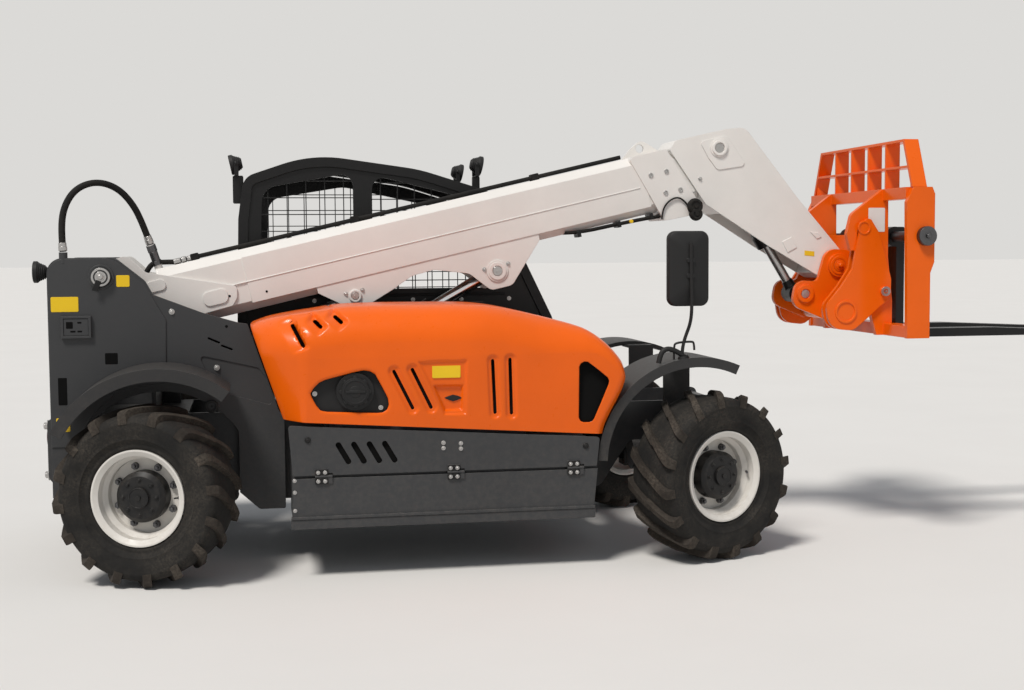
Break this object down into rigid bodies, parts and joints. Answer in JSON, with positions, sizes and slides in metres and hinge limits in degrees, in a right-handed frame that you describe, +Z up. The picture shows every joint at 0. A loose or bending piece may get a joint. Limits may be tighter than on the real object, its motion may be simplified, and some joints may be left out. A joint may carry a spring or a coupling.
{
  "type": "compact rough-terrain telescopic handler",
  "caption": "Compact rough-terrain telehandler: rear-hinged telescopic boom with gooseneck, quick coupler and fork carriage, caged cab, side engine hood and steered lugged wheels.",
  "frame": {"origin": "on the ground under the middle of the overall length and width", "axes": "+X towards the forks, +Y to the machine's left (the cab's side), +Z up"},
  "size_m": [5.6363, 2.048, 2.1661],
  "materials": {
    "orange_paint": "semi-gloss orange paint",
    "white_paint": "semi-gloss warm white paint",
    "grey_paint": "satin charcoal grey paint",
    "black_paint": "satin black paint",
    "hub_black": "satin black paint",
    "barrel_grey": "satin dark grey paint",
    "chrome_rod": "hard chrome, polished",
    "shaft_steel": "plain turned steel",
    "engine_iron": "rough cast iron",
    "black_plastic": "matt moulded black plastic",
    "seat_vinyl": "black vinyl",
    "hose_rubber": "black hydraulic hose",
    "tyre_rubber": "matt black rubber"
  },
  "bodies": {
    "chassis": {"chassis_frame": "grey_paint", "tower": "grey_paint", "counterweight": "grey_paint", "engine_block": "engine_iron", "side_box": "grey_paint", "left_box": "grey_paint", "fenders": "black_plastic", "axle_front": "grey_paint", "axle_rear": "grey_paint", "cab_frame": "black_paint", "cab_panels": "black_paint", "cab_roof": "black_paint", "cab_side": "black_paint", "cab_guards": "black_paint", "seat": "seat_vinyl", "console": "black_plastic", "mirror": "black_plastic", "work_lamps": "black_plastic", "hose_loop": "hose_rubber"},
    "hood": {"hood": "orange_paint", "hood_cap": "black_plastic"},
    "box_door": {"box_door": "grey_paint"},
    "cab_door": {"cab_door": "black_paint", "door_guard": "black_paint"},
    "boom_outer": {"boom_outer": "white_paint", "boom_pipes": "shaft_steel"},
    "boom_inner": {"boom_inner": "white_paint", "gooseneck": "white_paint"},
    "coupler": {"coupler": "orange_paint", "carriage": "orange_paint", "backrest": "orange_paint", "fork_shaft": "shaft_steel"},
    "fork_right": {"fork_right": "black_paint"},
    "fork_left": {"fork_left": "black_paint"},
    "lift_rod": {"lift_rod": "chrome_rod"},
    "lift_barrel": {"lift_barrel": "barrel_grey"},
    "comp_rod": {"comp_rod": "chrome_rod"},
    "comp_barrel": {"comp_barrel": "barrel_grey"},
    "tilt_barrel": {"tilt_barrel": "barrel_grey"},
    "tilt_rod": {"tilt_rod": "chrome_rod"},
    "knuckle_front_right": {"knuckle_front_right": "grey_paint"},
    "wheel_front_right": {"tyre_front_right": "tyre_rubber", "rim_front_right": "white_paint", "hub_front_right": "hub_black"},
    "knuckle_front_left": {"knuckle_front_left": "grey_paint"},
    "wheel_front_left": {"tyre_front_left": "tyre_rubber", "rim_front_left": "white_paint", "hub_front_left": "hub_black"},
    "knuckle_rear_right": {"knuckle_rear_right": "grey_paint"},
    "wheel_rear_right": {"tyre_rear_right": "tyre_rubber", "rim_rear_right": "white_paint", "hub_rear_right": "hub_black"},
    "knuckle_rear_left": {"knuckle_rear_left": "grey_paint"},
    "wheel_rear_left": {"tyre_rear_left": "tyre_rubber", "rim_rear_left": "white_paint", "hub_rear_left": "hub_black"}
  },
  "joints": [
    {"name": "steer_front_right", "type": "hinge", "parent": "chassis", "child": "knuckle_front_right", "pos_m": [0.385, -0.62, 0.4155], "axis": [0, 0, 1], "range_deg": [-57, 13]},
    {"name": "roll_front_right", "type": "hinge", "parent": "knuckle_front_right", "child": "wheel_front_right", "pos_m": [0.4337, -0.74053, 0.4155], "axis": [-0.3746, 0.9272, 0], "continuous": true},
    {"name": "steer_front_left", "type": "hinge", "parent": "chassis", "child": "knuckle_front_left", "pos_m": [0.385, 0.62, 0.4155], "axis": [0, 0, 1], "range_deg": [-57, 13]},
    {"name": "roll_front_left", "type": "hinge", "parent": "knuckle_front_left", "child": "wheel_front_left", "pos_m": [0.3363, 0.74053, 0.4155], "axis": [-0.3746, 0.9272, 0], "continuous": true},
    {"name": "steer_rear_right", "type": "hinge", "parent": "chassis", "child": "knuckle_rear_right", "pos_m": [-2.235, -0.62, 0.4155], "axis": [0, 0, 1], "range_deg": [-16, 54]},
    {"name": "roll_rear_right", "type": "hinge", "parent": "knuckle_rear_right", "child": "wheel_rear_right", "pos_m": [-2.27732, -0.74292, 0.4155], "axis": [0.3256, 0.9455, 0], "continuous": true},
    {"name": "steer_rear_left", "type": "hinge", "parent": "chassis", "child": "knuckle_rear_left", "pos_m": [-2.235, 0.62, 0.4155], "axis": [0, 0, 1], "range_deg": [-16, 54]},
    {"name": "roll_rear_left", "type": "hinge", "parent": "knuckle_rear_left", "child": "wheel_rear_left", "pos_m": [-2.19268, 0.74292, 0.4155], "axis": [0.3256, 0.9455, 0], "continuous": true},
    {"name": "boom_lift", "type": "hinge", "parent": "chassis", "child": "boom_outer", "pos_m": [-2.495, -0.105, 1.414], "axis": [0, -1, 0], "range_deg": [-14.5, 50], "deforming": ["hose_loop"]},
    {"name": "boom_extend", "type": "slide", "parent": "boom_outer", "child": "boom_inner", "axis": [0.9744, 0, 0.225], "range_m": [0, 1.85]},
    {"name": "coupler_tilt", "type": "hinge", "parent": "boom_inner", "child": "coupler", "pos_m": [1.31457, -0.105, 1.43654], "axis": [0, -1, 0], "range_deg": [-60, 35]},
    {"name": "lift_rod_turn", "type": "hinge", "parent": "boom_outer", "child": "lift_rod", "pos_m": [-0.54285, -0.105, 1.42235], "axis": [0, -1, 0], "range_deg": [-5.3, 1.68]},
    {"name": "lift_barrel_slide", "type": "slide", "parent": "lift_rod", "child": "lift_barrel", "axis": [-0.8594, 0, -0.5113], "range_m": [-0.2391, 0.8222]},
    {"name": "comp_rod_turn", "type": "hinge", "parent": "boom_outer", "child": "comp_rod", "pos_m": [-1.2737, -0.105, 1.30288], "axis": [0, -1, 0], "range_deg": [-2.15, 0.77]},
    {"name": "comp_barrel_slide", "type": "slide", "parent": "comp_rod", "child": "comp_barrel", "axis": [-0.9193, 0, -0.3934], "range_m": [-0.1432, 0.4914]},
    {"name": "tilt_barrel_turn", "type": "hinge", "parent": "boom_inner", "child": "tilt_barrel", "pos_m": [0.65245, -0.105, 2.05957], "axis": [0, -1, 0], "range_deg": [-0.9, 1.4]},
    {"name": "tilt_rod_slide", "type": "slide", "parent": "tilt_barrel", "child": "tilt_rod", "axis": [0.5208, 0, -0.8537], "range_m": [-0.2209, 0.1293]},
    {"name": "fork_right_slide", "type": "slide", "parent": "coupler", "child": "fork_right", "axis": [0, -1, 0], "range_m": [-0.19, 0.3]},
    {"name": "fork_left_slide", "type": "slide", "parent": "coupler", "child": "fork_left", "axis": [0, 1, 0], "range_m": [-0.19, 0.3]},
    {"name": "hood_open", "type": "hinge", "parent": "chassis", "child": "hood", "pos_m": [-0.925, -0.336, 1.245], "axis": [-1, 0, 0], "range_deg": [0, 55]},
    {"name": "box_door_drop", "type": "hinge", "parent": "chassis", "child": "box_door", "pos_m": [-0.925, -0.853, 0.487], "axis": [1, 0, 0], "range_deg": [0, 95]},
    {"name": "cab_door_open", "type": "hinge", "parent": "chassis", "child": "cab_door", "pos_m": [-1.841, 0.892, 1.2], "axis": [0, 0, 1], "range_deg": [0, 100]}
  ],
  "couplings": [
    {"joint": "lift_rod_turn", "follows": "boom_lift", "ratio": -0.102},
    {"joint": "lift_barrel_slide", "follows": "boom_lift", "m_per_rad": 0.941},
    {"joint": "comp_rod_turn", "follows": "boom_lift", "ratio": -0.039},
    {"joint": "comp_barrel_slide", "follows": "boom_lift", "m_per_rad": 0.562},
    {"joint": "tilt_barrel_turn", "follows": "coupler_tilt", "ratio": -0.02},
    {"joint": "tilt_rod_slide", "follows": "coupler_tilt", "m_per_rad": 0.21},
    {"joint": "steer_front_left", "follows": "steer_front_right", "ratio": 1},
    {"joint": "steer_rear_left", "follows": "steer_rear_right", "ratio": 1}
  ]
}
